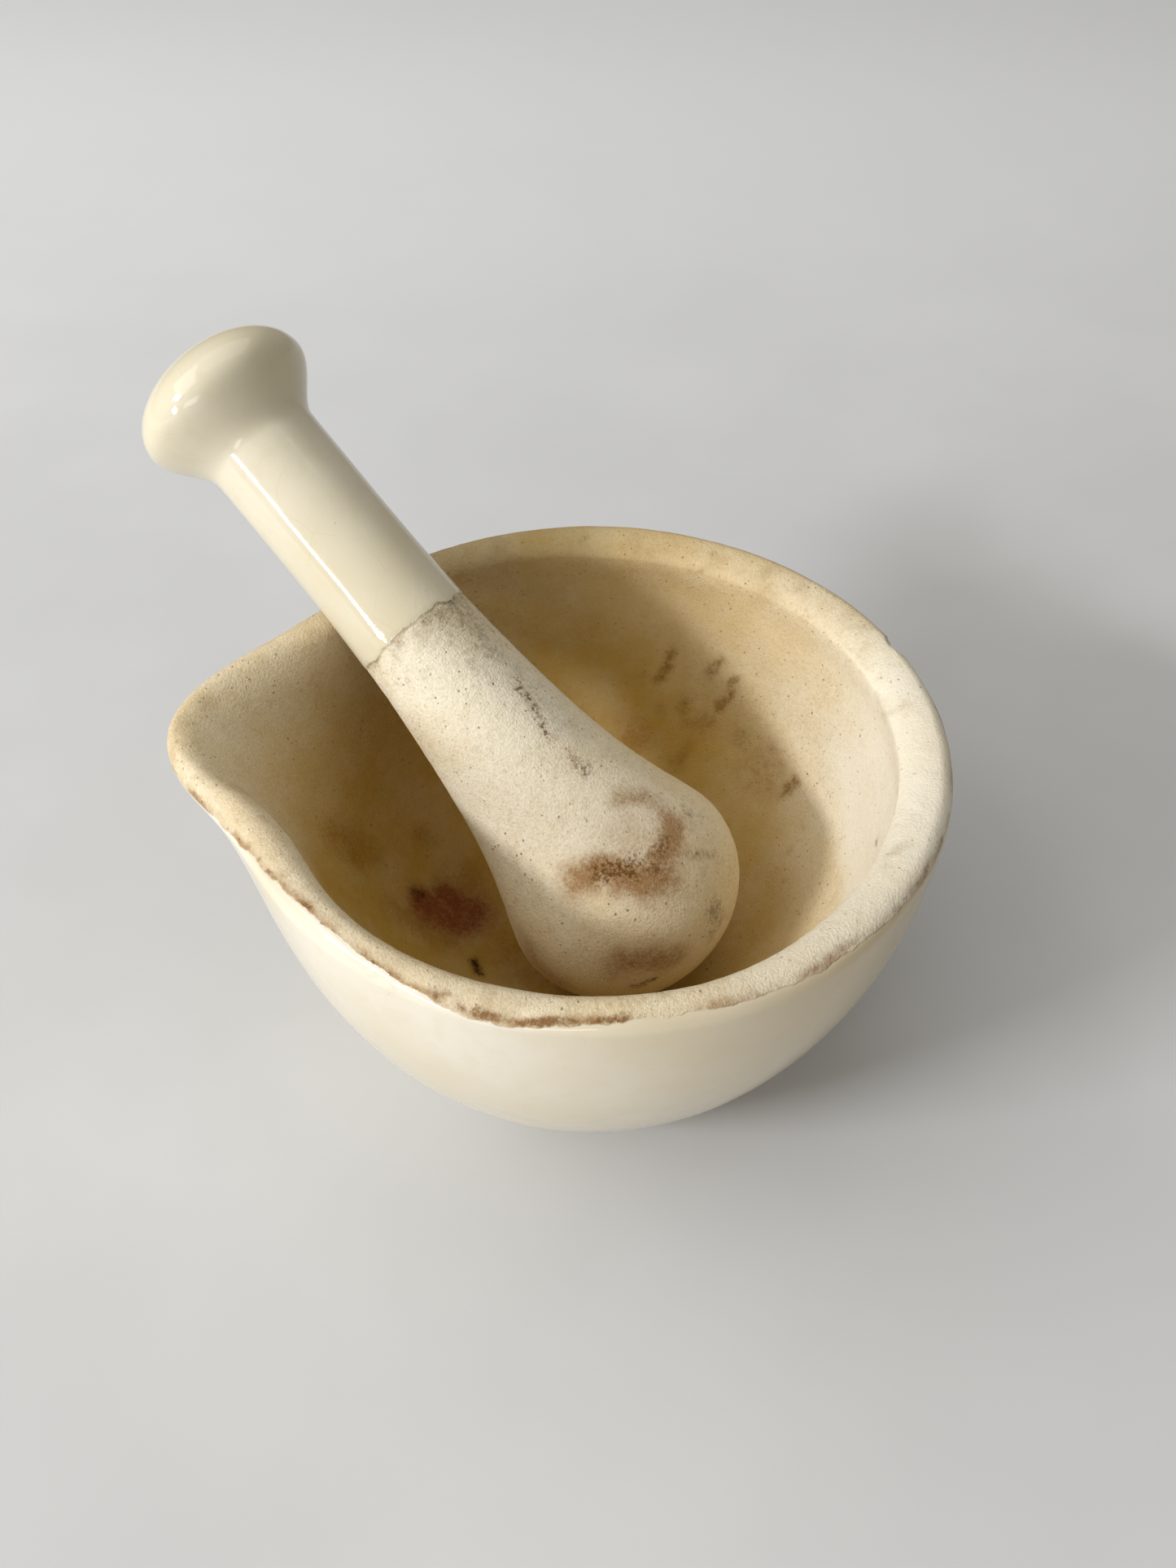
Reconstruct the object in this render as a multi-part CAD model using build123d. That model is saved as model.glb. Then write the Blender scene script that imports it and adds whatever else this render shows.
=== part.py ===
# Small ceramic mortar and pestle, in millimetres.
# Origin: centre of the mortar's base, on its round axis. +Z up, pouring spout along -X.
import os
from math import acos, atan, cos, degrees, exp, radians, sin

from build123d import *

os.makedirs("parts", exist_ok=True)

# Mortar, round part
rim_radius = 45.0
height = 50.0
base_radius = 27.0
wall_at_rim = 5.6
rim_crown = 2.4
floor_thickness = 8.0
floor_flat_radius = 5.0

# Mortar, pouring spout: the wall is pulled outward and its lip leans and dips
spout_reach = 10.5
spout_dip = 1.6
spout_half_angle = 17.5
spout_start_z = 24.0
spout_flare_power = 2.4

# Pestle, measured along its own axis from the tip of the head
pestle_length = 105.5
head_radius = 16.7
head_dome = 15.2
head_shoulder = (8.0, 14.5)
head_taper = (18.0, 11.6)
shaft_taper = (30.0, 9.7)
shaft_slim = (45.0, 8.3)
neck_radius = 7.7
neck_below_top = 15.0
knob_radius = 12.2
knob_dome = 7.0
knob_cove = 4.0

# Pestle at rest in the bowl: where its tip lies and which way it leans
tip_x = 14.5
tip_y = -12.0
tip_z = 15.35
lean_heading = 145.5
lean_rise = 36.7

# Worked out from the sizes above
shoulder_z = height - rim_crown
belly_depth = shoulder_z / (1 - (base_radius / rim_radius) ** 2) ** 0.5
bowl_depth = shoulder_z - floor_thickness
mouth_radius = rim_radius - wall_at_rim
base_turn = degrees(acos(base_radius / rim_radius))
quarter_ellipse = 0.5523  # Bezier handle length that makes a quarter of an ellipse

# How finely the wall's surface is stepped round the bowl, and over it from base to floor
section_points = 48
outside_steps = 8
rim_steps = 6
bowl_steps = 9


def outer_radius(z):
    """Radius of the outside wall: an ellipse, upright at the shoulder and cut off at the base."""
    return rim_radius * (1 - ((shoulder_z - z) / belly_depth) ** 2) ** 0.5


def inner_radius(z):
    """Radius of the bowl: a small flat floor, then an ellipse rising to an upright wall."""
    swell = (1 - ((shoulder_z - z) / bowl_depth) ** 2) ** 0.5
    return floor_flat_radius + (mouth_radius - floor_flat_radius) * swell


def wall_middle(level):
    """Radius of the line that pulled() measures its offsets from."""
    if level > floor_thickness:
        return (outer_radius(level) + inner_radius(level)) / 2
    return rim_radius


def pulled(level, across, up, angle):
    """Move one point of the wall to where the spout's pull takes it.

    level is the height of the wall's middle line beside the point, across and up are the
    point's offsets from that line, and angle is its direction round the bowl.
    """
    near_spout = exp(-(((angle - 180.0) / spout_half_angle) ** 2))
    span = shoulder_z - spout_start_z
    climb = max(0.0, (level - spout_start_z) / span)
    pull = near_spout * climb**spout_flare_power
    slope = spout_flare_power * spout_reach * near_spout * climb ** (spout_flare_power - 1) / span
    lean = atan(slope)
    r = wall_middle(level) + spout_reach * pull + across * cos(lean) + up * sin(lean)
    z = level - spout_dip * pull - across * sin(lean) + up * cos(lean)
    return (r * cos(radians(angle)), r * sin(radians(angle)), z)


def wall_stations():
    """(level, across, up) of each ring: up the outside, over the rim, down into the bowl."""
    stations = []
    for i in range(outside_steps):
        turn = radians(base_turn * (1 - i / outside_steps))
        z = shoulder_z - belly_depth * sin(turn)
        stations.append((z, outer_radius(z) - wall_middle(z), 0.0))
    for i in range(rim_steps + 1):
        turn = radians(180.0 * i / rim_steps)
        across = wall_at_rim / 2 * cos(turn)
        stations.append((shoulder_z, across, rim_crown * sin(turn)))
    for i in range(1, bowl_steps + 1):
        turn = radians(90.0 * i / bowl_steps)
        z = shoulder_z - bowl_depth * sin(turn)
        stations.append((z, inner_radius(z) - wall_middle(z), 0.0))
    return stations


def ring(level, across, up):
    """One closed ring round the wall, bulging where the spout is."""
    points = []
    for i in range(section_points):
        points.append(pulled(level, across, up, 360.0 * i / section_points))
    return Wire([Spline(*points, periodic=True)])


def build_mortar():
    """One smooth skin from the base's edge, over the rim, to the bowl's flat floor."""
    rings = [ring(level, across, up) for level, across, up in wall_stations()]
    return Solid.make_loft(rings)


def build_pestle():
    """One turned piece: rounded head, tapering shaft, domed knob; then laid in the bowl."""
    head_z = head_dome
    neck_z = pestle_length - neck_below_top
    knob_z = pestle_length - knob_dome
    with BuildPart() as turned:
        with BuildSketch(Plane.XZ):
            with BuildLine():
                Bezier(
                    (0, 0),
                    (quarter_ellipse * head_radius, 0),
                    (head_radius, (1 - quarter_ellipse) * head_dome),
                    (head_radius, head_z),
                )
                Spline(
                    (head_radius, head_z),
                    (head_shoulder[1], head_z + head_shoulder[0]),
                    (head_taper[1], head_z + head_taper[0]),
                    (shaft_taper[1], head_z + shaft_taper[0]),
                    (shaft_slim[1], head_z + shaft_slim[0]),
                    (neck_radius, neck_z),
                    tangents=[(0, 1), (0, 1)],
                )
                Bezier(
                    (neck_radius, neck_z),
                    (neck_radius, neck_z + knob_cove),
                    (knob_radius, knob_z - knob_cove),
                    (knob_radius, knob_z),
                )
                Bezier(
                    (knob_radius, knob_z),
                    (knob_radius, knob_z + quarter_ellipse * knob_dome),
                    (quarter_ellipse * knob_radius, pestle_length),
                    (0, pestle_length),
                )
                Line((0, pestle_length), (0, 0))
            make_face()
        revolve(axis=Axis.Z)
    rise = radians(lean_rise)
    heading = radians(lean_heading)
    along = (cos(rise) * cos(heading), cos(rise) * sin(heading), sin(rise))
    rest = Plane(origin=(tip_x, tip_y, tip_z), z_dir=along)
    return rest.location * turned.part


mortar = build_mortar()
pestle = build_pestle()

export_step(mortar, "parts/mortar.step")
export_step(pestle, "parts/pestle.step")
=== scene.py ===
"""A small ceramic mortar and pestle: the looks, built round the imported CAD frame.

The mortar stands on its base at the origin, its pouring spout along -X. The loose pestle leans
in it, its knob out over the rim. Outside and handle are glazed; rim, bowl and head are bare.
"""
import math

import bpy
import numpy as np
from mathutils import Matrix, Quaternion, Vector, noise


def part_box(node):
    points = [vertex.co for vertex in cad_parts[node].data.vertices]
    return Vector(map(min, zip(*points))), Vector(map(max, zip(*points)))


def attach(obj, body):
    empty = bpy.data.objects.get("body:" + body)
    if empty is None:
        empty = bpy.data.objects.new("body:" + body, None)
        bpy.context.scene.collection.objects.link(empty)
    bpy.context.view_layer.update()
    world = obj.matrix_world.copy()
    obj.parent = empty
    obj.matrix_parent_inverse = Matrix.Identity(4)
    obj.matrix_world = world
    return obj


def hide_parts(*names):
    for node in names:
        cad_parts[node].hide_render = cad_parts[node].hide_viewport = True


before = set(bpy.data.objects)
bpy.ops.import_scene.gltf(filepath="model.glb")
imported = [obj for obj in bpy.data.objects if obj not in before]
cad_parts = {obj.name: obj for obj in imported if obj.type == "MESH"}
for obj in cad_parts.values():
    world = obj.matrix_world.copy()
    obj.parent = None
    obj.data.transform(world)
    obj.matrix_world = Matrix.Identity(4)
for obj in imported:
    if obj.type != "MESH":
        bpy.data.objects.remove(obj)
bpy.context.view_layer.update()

mortar_low, mortar_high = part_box("mortar")

# Lengths below are in millimetres and are scaled by this on their way into Blender. The floor's
# and the lights' own lengths are in metres.
MM = 0.001

# ---------------------------------------------------------------------------------------------
# Sizes, as the CAD has them
# ---------------------------------------------------------------------------------------------
HEIGHT = round(mortar_high.z / MM, 1)
RIM_RADIUS = round(mortar_high.x / MM, 0)
BASE_RADIUS = 27.0
WALL_AT_RIM = 5.6
RIM_CROWN = 2.4
FLOOR_THICKNESS = 8.0
FLOOR_FLAT_RADIUS = 5.0

SPOUT_REACH = 10.5
SPOUT_DIP = 1.6
SPOUT_HALF_ANGLE = 17.5
SPOUT_START_Z = 24.0
SPOUT_FLARE_POWER = 2.4

PESTLE_LENGTH = 105.5
HEAD_RADIUS = 16.7
HEAD_DOME = 15.2
SHAFT_STATIONS = (0.0, 8.0, 18.0, 30.0, 45.0)  # above the head's widest ring
SHAFT_RADII = (HEAD_RADIUS, 14.5, 11.6, 9.7, 8.3)
NECK_RADIUS = 7.7
NECK_BELOW_TOP = 15.0
KNOB_RADIUS = 12.2
KNOB_DOME = 7.0

TIP = (14.5, -12.0, 15.35)
LEAN_HEADING = math.radians(145.5)
LEAN_RISE = math.radians(36.7)

SHOULDER_Z = HEIGHT - RIM_CROWN
BELLY_DEPTH = SHOULDER_Z / math.sqrt(1 - (BASE_RADIUS / RIM_RADIUS) ** 2)
BOWL_DEPTH = SHOULDER_Z - FLOOR_THICKNESS
MOUTH_RADIUS = RIM_RADIUS - WALL_AT_RIM

# Where the glaze ends
MORTAR_GLAZE_TOP = SHOULDER_Z + 0.9  # height on the outside of the rim
PESTLE_GLAZE_START = 60.2  # along the pestle's axis from its tip
GLAZE_THICKNESS = 0.14

# Where the glaze ends on the rim's front, in degrees: heading round from +X, and how far the
# edge has turned in over the rim from its outermost line
GLAZE_EDGE_TURNS = (
    (200, 22), (214, 40), (219, 49), (225, 61), (231, 54), (241, 51),
    (249, 36), (256, 24), (260, 23), (266, 36), (273, 41), (310, 38), (330, 22),
)

# Painted shade: the glaze is darkened round this heading, on the outside's shaded front right, in degrees
SHADED_GLAZE_HEADING = 322.0
SHADED_GLAZE_SPREAD = 42.0
SHADED_GLAZE_SHARE = 0.85

# How the rim was thrown, which the CAD leaves out: an inner lip on the right, a thinner front
# and an eased edge at the spout. Headings and spreads are in degrees.
LIP_THICKNESS = 0.85
LIP_CROWN_SHIFT = 0.9
LIP_ROLL_POWER = 1.25
LIP_FADES_BELOW = 3.4
LIP_HEADING = 30.0
LIP_WHOLE_WITHIN = 50.0
LIP_GONE_BEYOND = 90.0
FRONT_THINNING = 1.0
FRONT_HEADING = 262.0
FRONT_WHOLE_WITHIN = 25.0
FRONT_GONE_BEYOND = 55.0
EASED_BELOW = 4.0  # how far down the spout's inner edge is rounded off
EASED_HALF_ANGLE = 24.0

# How finely the skins are divided
AROUND_MORTAR = 384
BASE_RINGS = 16
FIRST_RIM_RING = 94
RIM_RINGS = 46
BOWL_RINGS = 96
FLOOR_RINGS = 6
AROUND_PESTLE = 288
HEAD_RINGS = 60
SHAFT_RINGS = 220
DOME_RINGS = 40


# ---------------------------------------------------------------------------------------------
# Small helpers
# ---------------------------------------------------------------------------------------------
def smooth(low, high, x):
    """0 below low, 1 above high, and an easy curve between."""
    t = np.clip((np.asarray(x, float) - low) / (high - low), 0.0, 1.0)
    return t * t * (3 - 2 * t)


def turned_from(heading, angle):
    """Angle as degrees round from heading, from -180 to 180."""
    return (angle - heading + 180.0) % 360.0 - 180.0


def field(points, scale, seed):
    """Smooth noise from about -1 to 1 at each point; scale is the size of one lump in mm."""
    offset = Vector((seed * 17.3, seed * -9.1, seed * 4.7))
    flat = points.reshape(-1, 3) / scale
    values = [noise.noise(Vector(p) + offset) for p in flat]
    return np.array(values).reshape(points.shape[:-1])


def spline_through(xs, ys, x):
    """Smooth curve through the points, level at both ends."""
    xs, ys = np.array(xs, float), np.array(ys, float)
    gap = np.diff(xs)
    rise = np.diff(ys) / gap
    count = len(xs)
    rows, right = np.eye(count), np.zeros(count)
    for i in range(1, count - 1):
        rows[i, i - 1 : i + 2] = (1 / gap[i - 1], 2 / gap[i - 1] + 2 / gap[i], 1 / gap[i])
        right[i] = 3 * (rise[i - 1] / gap[i - 1] + rise[i] / gap[i])
    slope = np.linalg.solve(rows, right)
    k = np.clip(np.searchsorted(xs, x) - 1, 0, count - 2)
    t = (x - xs[k]) / gap[k]
    start, end = ys[k], ys[k + 1]
    lead, trail = slope[k] * gap[k], slope[k + 1] * gap[k]
    return (
        start * (1 + 2 * t) * (1 - t) ** 2
        + lead * t * (1 - t) ** 2
        + end * t**2 * (3 - 2 * t)
        + trail * t**2 * (t - 1)
    )


def skin_normals(grid):
    """Outward unit normals of a grid of rings, (rings, around, 3)."""
    along = np.gradient(grid, axis=0)
    round_ring = np.roll(grid, -1, axis=1) - np.roll(grid, 1, axis=1)
    n = np.cross(round_ring, along)
    size = np.linalg.norm(n, axis=2, keepdims=True)
    return n / np.maximum(size, 1e-9)


def closed_skin(name, grid, first_pole, last_pole, attributes):
    """A closed mesh from rings of points, in mm, with one pole point at each end."""
    rings, around, _ = grid.shape
    points = np.concatenate([grid.reshape(-1, 3), [first_pole], [last_pole]]) * MM
    index = np.arange(rings * around).reshape(rings, around)
    ahead = np.roll(index, -1, axis=1)
    quads = np.stack([index[:-1], ahead[:-1], ahead[1:], index[1:]], axis=-1).reshape(-1, 4)
    first, last = rings * around, rings * around + 1
    faces = [tuple(int(v) for v in q) for q in quads]
    faces += [(first, int(b), int(a)) for a, b in zip(index[0], ahead[0])]
    faces += [(last, int(a), int(b)) for a, b in zip(index[-1], ahead[-1])]
    mesh = bpy.data.meshes.new(name)
    mesh.from_pydata([tuple(p) for p in points], [], faces)
    for label, (values, first_value, last_value) in attributes.items():
        layer = mesh.attributes.new(label, "FLOAT", "POINT")
        flat = np.concatenate([values.ravel(), [first_value, last_value]])
        layer.data.foreach_set("value", flat.astype(np.float32))
    mesh.polygons.foreach_set("use_smooth", [True] * len(mesh.polygons))
    mesh.update()
    piece = bpy.data.objects.new(name, mesh)
    bpy.context.scene.collection.objects.link(piece)
    return piece


# ---------------------------------------------------------------------------------------------
# The mortar's shape
# ---------------------------------------------------------------------------------------------
def outer_radius(z):
    """Radius of the outside at height z, before the spout is pulled."""
    return RIM_RADIUS * np.sqrt(1 - ((SHOULDER_Z - z) / BELLY_DEPTH) ** 2)


def inner_radius(z):
    """Radius of the bowl at height z, before the spout is pulled."""
    swell = np.sqrt(np.clip(1 - ((SHOULDER_Z - z) / BOWL_DEPTH) ** 2, 0, 1))
    return FLOOR_FLAT_RADIUS + (MOUTH_RADIUS - FLOOR_FLAT_RADIUS) * swell


def wall_middle(level):
    """Radius of the wall's middle line, which the spout's pull bends."""
    safe = np.maximum(level, FLOOR_THICKNESS)
    return np.where(level > FLOOR_THICKNESS, (outer_radius(safe) + inner_radius(safe)) / 2, RIM_RADIUS)


def pulled(level, across, up, angle):
    """Where the wall's point goes, at each angle in degrees, with the spout pulled outward."""
    near_spout = np.exp(-(((angle - 180.0) / SPOUT_HALF_ANGLE) ** 2))
    span = SHOULDER_Z - SPOUT_START_Z
    climb = np.maximum(0.0, (level - SPOUT_START_Z) / span)
    pull = near_spout * climb**SPOUT_FLARE_POWER
    slope = SPOUT_FLARE_POWER * SPOUT_REACH * near_spout * climb ** (SPOUT_FLARE_POWER - 1) / span
    lean = np.arctan(slope)
    r = wall_middle(level) + SPOUT_REACH * pull + across * np.cos(lean) + up * np.sin(lean)
    z = level - SPOUT_DIP * pull - across * np.sin(lean) + up * np.cos(lean)
    turn = np.radians(angle)
    return np.stack([r * np.cos(turn), r * np.sin(turn), z + 0 * r], axis=-1)


def mortar_stations():
    """(level, across, up) of every ring, from the base's centre over the rim to the floor's centre."""
    base_centre, base_edge, first_share = 1.5, 0.7, 0.985
    stations = []
    for r in np.linspace(base_centre, BASE_RADIUS - base_edge, BASE_RINGS):
        stations.append((0.0, r - RIM_RADIUS, 0.0))
    first_turn = math.acos(BASE_RADIUS / RIM_RADIUS)
    wall_rings = FIRST_RIM_RING - BASE_RINGS
    for turn in np.linspace(first_turn * first_share, 0, wall_rings, endpoint=False):
        z = SHOULDER_Z - BELLY_DEPTH * math.sin(turn)
        stations.append((z, outer_radius(z) - float(wall_middle(z)), 0.0))
    for turn in np.linspace(0, math.pi, RIM_RINGS):
        stations.append((SHOULDER_Z, WALL_AT_RIM / 2 * math.cos(turn), RIM_CROWN * math.sin(turn)))
    for turn in np.linspace(0, math.pi / 2, BOWL_RINGS)[1:]:
        z = SHOULDER_Z - BOWL_DEPTH * math.sin(turn)
        stations.append((z, inner_radius(z) - float(wall_middle(z)), 0.0))
    for r in np.linspace(FLOOR_FLAT_RADIUS, 0, FLOOR_RINGS, endpoint=False)[1:]:
        stations.append((FLOOR_THICKNESS, r - RIM_RADIUS, 0.0))
    return np.array(stations)


def rolled_rim(stations, angle):
    """The rim as it was thrown: a lip inside it, and an easy run out over the spout."""
    level, across, _ = stations.T
    turn = np.linspace(0, math.pi, RIM_RINGS)
    on_rim = slice(FIRST_RIM_RING, FIRST_RIM_RING + RIM_RINGS)
    in_bowl = slice(FIRST_RIM_RING + RIM_RINGS, None)
    below = SHOULDER_Z - level[in_bowl]
    half = WALL_AT_RIM / 2

    lip, outer = across.copy(), turn < math.pi / 2
    inner_reach = np.abs(np.cos(turn)) ** LIP_ROLL_POWER
    lip[on_rim] = np.where(
        outer,
        LIP_CROWN_SHIFT + (half - LIP_CROWN_SHIFT) * np.cos(turn),
        LIP_CROWN_SHIFT - (half + LIP_CROWN_SHIFT + LIP_THICKNESS) * inner_reach,
    )
    fade = np.exp(-((below / LIP_FADES_BELOW) ** 2))
    lip[in_bowl] -= LIP_THICKNESS * fade
    lip_up = stations[:, 2].copy()
    lip_up[on_rim] = RIM_CROWN * np.where(outer, np.sin(turn), np.sin(turn) ** LIP_ROLL_POWER)

    easy, span = across.copy(), RIM_CROWN + EASED_BELOW
    climbed = (RIM_CROWN * np.sin(turn) + EASED_BELOW) / span
    eased = -half * np.sqrt(np.clip(1 - climbed**2, 0, 1))
    easy[on_rim] = np.where(outer, across[on_rim], eased)
    left = np.clip((EASED_BELOW - below) / span, 0, 1)
    easy[in_bowl] += half * (1 - np.sqrt(1 - left**2))

    thin = across.copy()
    thin[on_rim] = np.where(outer, across[on_rim], (half - FRONT_THINNING) * np.cos(turn))
    thin[in_bowl] += FRONT_THINNING * fade

    # The lip is on the right: none where the pestle leans, nor at the spout and the front
    from_right = np.abs(turned_from(LIP_HEADING, angle))
    lipped = smooth(LIP_GONE_BEYOND, LIP_WHOLE_WITHIN, from_right)[None, :]
    from_front = np.abs(angle - FRONT_HEADING)
    in_front = smooth(FRONT_GONE_BEYOND, FRONT_WHOLE_WITHIN, from_front)[None, :]
    at_spout = np.exp(-(((angle - 180.0) / EASED_HALF_ANGLE) ** 2))[None, :]
    new_across = across[:, None] + lipped * (lip - across)[:, None] + at_spout * (easy - across)[:, None]
    new_across = new_across + in_front * (thin - across)[:, None]
    old_up = stations[:, 2]
    return new_across, old_up[:, None] + lipped * (lip_up - old_up)[:, None]


def wear_and_shade(travel, angle):
    """How far wear and painted shade brown the clay: least on the lit right wall, most low down on the
    left and on the back rim.
    """
    turn = np.radians(angle)[None, :]
    right = ((1 + np.cos(turn)) / 2) ** 2
    back = np.clip(np.sin(turn), 0, 1) ** 2
    depth = smooth(7 + 16 * right, 26 + 20 * right, travel[:, None])
    # Painted shade: the back rim and the left are darker, and the lit right rim is lighter
    at_rim = 0.30 - 0.26 * right + 0.52 * back
    return at_rim + (0.97 - 0.10 * right - at_rim) * depth


def glaze_edge_shift(angle):
    """How far over the rim, in mm, the glaze ends at each angle, beside its usual height."""
    usual = math.degrees(math.asin((MORTAR_GLAZE_TOP - SHOULDER_Z) / RIM_CROWN))
    headings, turns = np.array(GLAZE_EDGE_TURNS, float).T
    turn = np.interp(angle, headings, turns, left=usual, right=usual)
    return np.radians(turn - usual) * (WALL_AT_RIM + 2 * RIM_CROWN) / 4


def travel_from_glaze(stations):
    """Distance along the section from where the glaze ends: minus outside, plus over the rim and in."""
    level, across, up = stations.T
    section = np.stack([wall_middle(level) + across, level + up], axis=-1)
    step = np.linalg.norm(np.diff(section, axis=0), axis=1)
    travel = np.concatenate([[0.0], np.cumsum(step)])
    outside = np.arange(len(stations)) < FIRST_RIM_RING + RIM_RINGS // 2
    return travel - travel[int(np.argmax(outside & (section[:, 1] >= MORTAR_GLAZE_TOP)))]


def mortar_piece():
    """The mortar's skin, with its glaze edge, wear, stains and painted shade as attributes."""
    stations = mortar_stations()
    angle = np.arange(AROUND_MORTAR) * 360.0 / AROUND_MORTAR
    level, across, up = (stations[:, i][:, None] for i in range(3))
    plain = pulled(level, across, up, angle[None, :])
    rim_across, rim_up = rolled_rim(stations, angle)
    grid = pulled(level, rim_across, rim_up, angle[None, :])
    normal = skin_normals(grid)
    rings = len(stations)

    # How far past the glaze's uneven edge each point is, in mm: over 0 is bare, as the base is
    travel = travel_from_glaze(stations)
    wave = 0.7 * field(grid * [1, 1, 0.2], 17.0, 3) + 0.4 * field(grid * [1, 1, 0.2], 3.0, 4)
    bare_by = travel[:, None] - glaze_edge_shift(angle)[None, :] + wave
    well_bare = 6.0
    on_base = np.repeat((np.arange(rings) < BASE_RINGS)[:, None], AROUND_MORTAR, axis=1)
    bare_by = np.where(on_base, well_bare, bare_by)

    marks = mortar_marks(plain)
    # Wear together with painted shade in the bowl
    marks["wear_and_shade"] = wear_and_shade(travel, angle)
    # Painted shade on the glaze's shaded front right
    from_shaded_side = turned_from(SHADED_GLAZE_HEADING, angle)
    glaze_shade = SHADED_GLAZE_SHARE * np.exp(-((from_shaded_side / SHADED_GLAZE_SPREAD) ** 2))
    marks["glaze_shade"] = np.repeat(glaze_shade[None, :], rings, axis=0)

    # Thrown by hand: a slow wobble, a thin step of glaze, and the bare clay's unevenness
    keep_base = smooth(0.0, 2.0, grid[..., 2])
    lift = 0.16 * field(grid, 26.0, 1) * keep_base + 0.06 * field(grid, 9.0, 2) * keep_base
    lift += GLAZE_THICKNESS * smooth(0.5, -0.5, bare_by) * keep_base
    rough = smooth(-0.4, 0.8, bare_by) * keep_base
    lift += rough * 0.05 * field(grid, 1.6, 5)
    lift -= chips(grid)
    grid = grid + normal * lift[..., None]
    at_floor_centre = 80.0
    attributes = {"bare_by": (bare_by, well_bare, at_floor_centre)}
    for label, values in marks.items():
        attributes[label] = (values, 0.0, 0.0)
    return closed_skin("mortar_body", grid, (0.0, 0.0, 0.0), (0.0, 0.0, FLOOR_THICKNESS), attributes)


def on_bowl(z, heading):
    """The point on the bowl's inner wall at height z, at heading degrees round from +X."""
    level = np.array([float(z)])
    return tuple(pulled(level, inner_radius(level) - wall_middle(level), 0.0, heading % 360.0)[0])


def on_rim(turn, heading):
    """The point on the rim: turn 0 is outermost, 90 the crown, 180 the bowl's side."""
    t = math.radians(turn)
    level = np.array([SHOULDER_Z])
    across, up = WALL_AT_RIM / 2 * math.cos(t), RIM_CROWN * math.sin(t)
    return tuple(pulled(level, across, up, heading % 360.0)[0])


WARPED = {}  # each skin's points, shifted about so that no stain has a drawn outline


def warp(grid):
    """Keeps the shifted points of one skin for smear."""
    rough = sum(
        amount * np.stack([field(grid, size, seed + axis) for axis in range(3)], axis=-1)
        for amount, size, seed in ((0.9, 4.5, 50), (0.4, 1.5, 60))
    )
    WARPED[grid.shape] = grid + rough


def smear(grid, path, width):
    """1 along the path's line, fading to 0 about two widths away."""
    flat = WARPED[grid.shape].reshape(-1, 3)
    nearest = np.full(len(flat), 1e9)
    path = [np.array(p, float) for p in path]
    for start, end in zip(path, path[1:] or path):
        run = end - start
        share = np.clip((flat - start) @ run / max(run @ run, 1e-9), 0, 1)
        gap = np.linalg.norm(flat - start - share[:, None] * run, axis=1)
        nearest = np.minimum(nearest, gap)
    return np.exp(-((nearest / width) ** 2)).reshape(grid.shape[:-1])


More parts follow.
